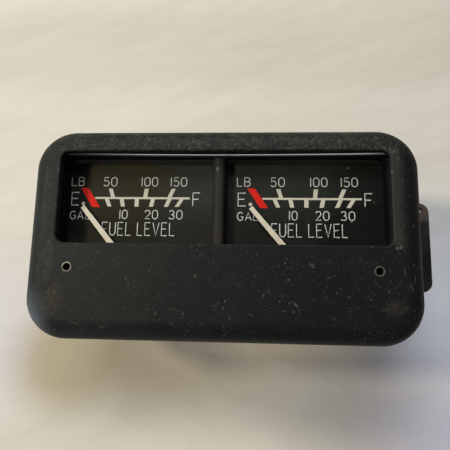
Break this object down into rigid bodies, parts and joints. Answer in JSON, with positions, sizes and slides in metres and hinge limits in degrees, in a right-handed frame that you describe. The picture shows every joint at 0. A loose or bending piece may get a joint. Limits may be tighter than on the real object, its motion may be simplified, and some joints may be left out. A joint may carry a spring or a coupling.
{
  "type": "aircraft fuel gauge",
  "caption": "Aircraft fuel quantity gauge with a wide black bezel, side-by-side pointer dials behind one window, a rear case with terminal studs and a side bracket.",
  "frame": {"origin": "middle of the four rear terminal studs, in the plane of their ends", "axes": "+X to the right of the dials, +Y up the dials, +Z out of the face; the gauge lies on its back"},
  "size_m": [0.1147, 0.059, 0.0562],
  "materials": {
    "bezel_plastic": "worn moulded black",
    "insert_brass": "tarnished",
    "gasket_rubber": "matte",
    "lens_acrylic": "clear, lightly scratched",
    "mask_plastic": "black satin",
    "dial_paint": "matte black with cream print",
    "turned_brass": "turned",
    "fibre": "red fibre",
    "screw_steel": "bright",
    "jewel_ruby": "polished",
    "chassis_aluminium": "milled",
    "case_paint": "black enamel",
    "board_phenolic": "brown laminate",
    "rivet_aluminium": "dull",
    "stud_brass": "threaded",
    "lead_insulation": "red insulation",
    "bracket_paint": "black enamel, worn",
    "pointer_paint": "cream",
    "weight_steel": "turned",
    "former_aluminium": "bright",
    "winding_copper": "enamelled copper wire",
    "spring_bronze": "phosphor bronze",
    "magnet_iron": "ground"
  },
  "bodies": {
    "housing": {"bezel": "bezel_plastic", "thread_inserts": "insert_brass", "lens_gasket": "gasket_rubber", "lens": "lens_acrylic", "dial_mask": "mask_plastic", "dial_left": "dial_paint", "dial_right": "dial_paint", "dial_posts": "turned_brass", "stop_pins": "turned_brass", "spring_holders": "turned_brass", "core_pins": "turned_brass", "pillars": "turned_brass", "holder_pads": "fibre", "yoke_screws": "screw_steel", "bridge_screws": "screw_steel", "jewel_screws": "turned_brass", "jewel_nuts": "turned_brass", "jewels": "jewel_ruby", "chassis_plate": "chassis_aluminium", "chassis_screws": "screw_steel", "case": "case_paint", "case_standoffs": "turned_brass", "case_screws": "screw_steel", "terminal_board": "board_phenolic", "board_rivets": "rivet_aluminium", "terminal_studs": "stud_brass", "stud_washers": "screw_steel", "stud_nuts": "stud_brass", "leads": "lead_insulation", "side_bracket": "bracket_paint", "bracket_rivets": "bracket_paint", "front_hairspring_left": "spring_bronze", "front_hairspring_right": "spring_bronze", "rear_hairspring_left": "spring_bronze", "rear_hairspring_right": "spring_bronze", "core_magnet_left": "magnet_iron", "core_magnet_right": "magnet_iron", "yoke_ring_left": "magnet_iron", "yoke_ring_right": "magnet_iron", "front_bridge_left": "turned_brass", "front_bridge_right": "turned_brass", "rear_bridge_left": "turned_brass", "rear_bridge_right": "turned_brass"},
    "needle_left": {"pointer_left": "pointer_paint", "balance_weights_left": "weight_steel", "staffs_left": "weight_steel", "spring_collets_left": "turned_brass", "coil_former_left": "former_aluminium", "coil_winding_left": "winding_copper"},
    "needle_right": {"pointer_right": "pointer_paint", "balance_weights_right": "weight_steel", "staffs_right": "weight_steel", "spring_collets_right": "turned_brass", "coil_former_right": "former_aluminium", "coil_winding_right": "winding_copper"}
  },
  "joints": [
    {"name": "left_needle_swing", "type": "hinge", "parent": "housing", "child": "needle_left", "pos_m": [-0.0255, -0.0105, 0.0492], "axis": [0, 0, -1], "range_deg": [0, 78], "stiffness_Nm_per_rad": 0.00001, "deforming": ["front_hairspring_left", "rear_hairspring_left"]},
    {"name": "right_needle_swing", "type": "hinge", "parent": "housing", "child": "needle_right", "pos_m": [0.0236, -0.0105, 0.0492], "axis": [0, 0, -1], "range_deg": [0, 78], "stiffness_Nm_per_rad": 0.00001, "deforming": ["front_hairspring_right", "rear_hairspring_right"]}
  ]
}
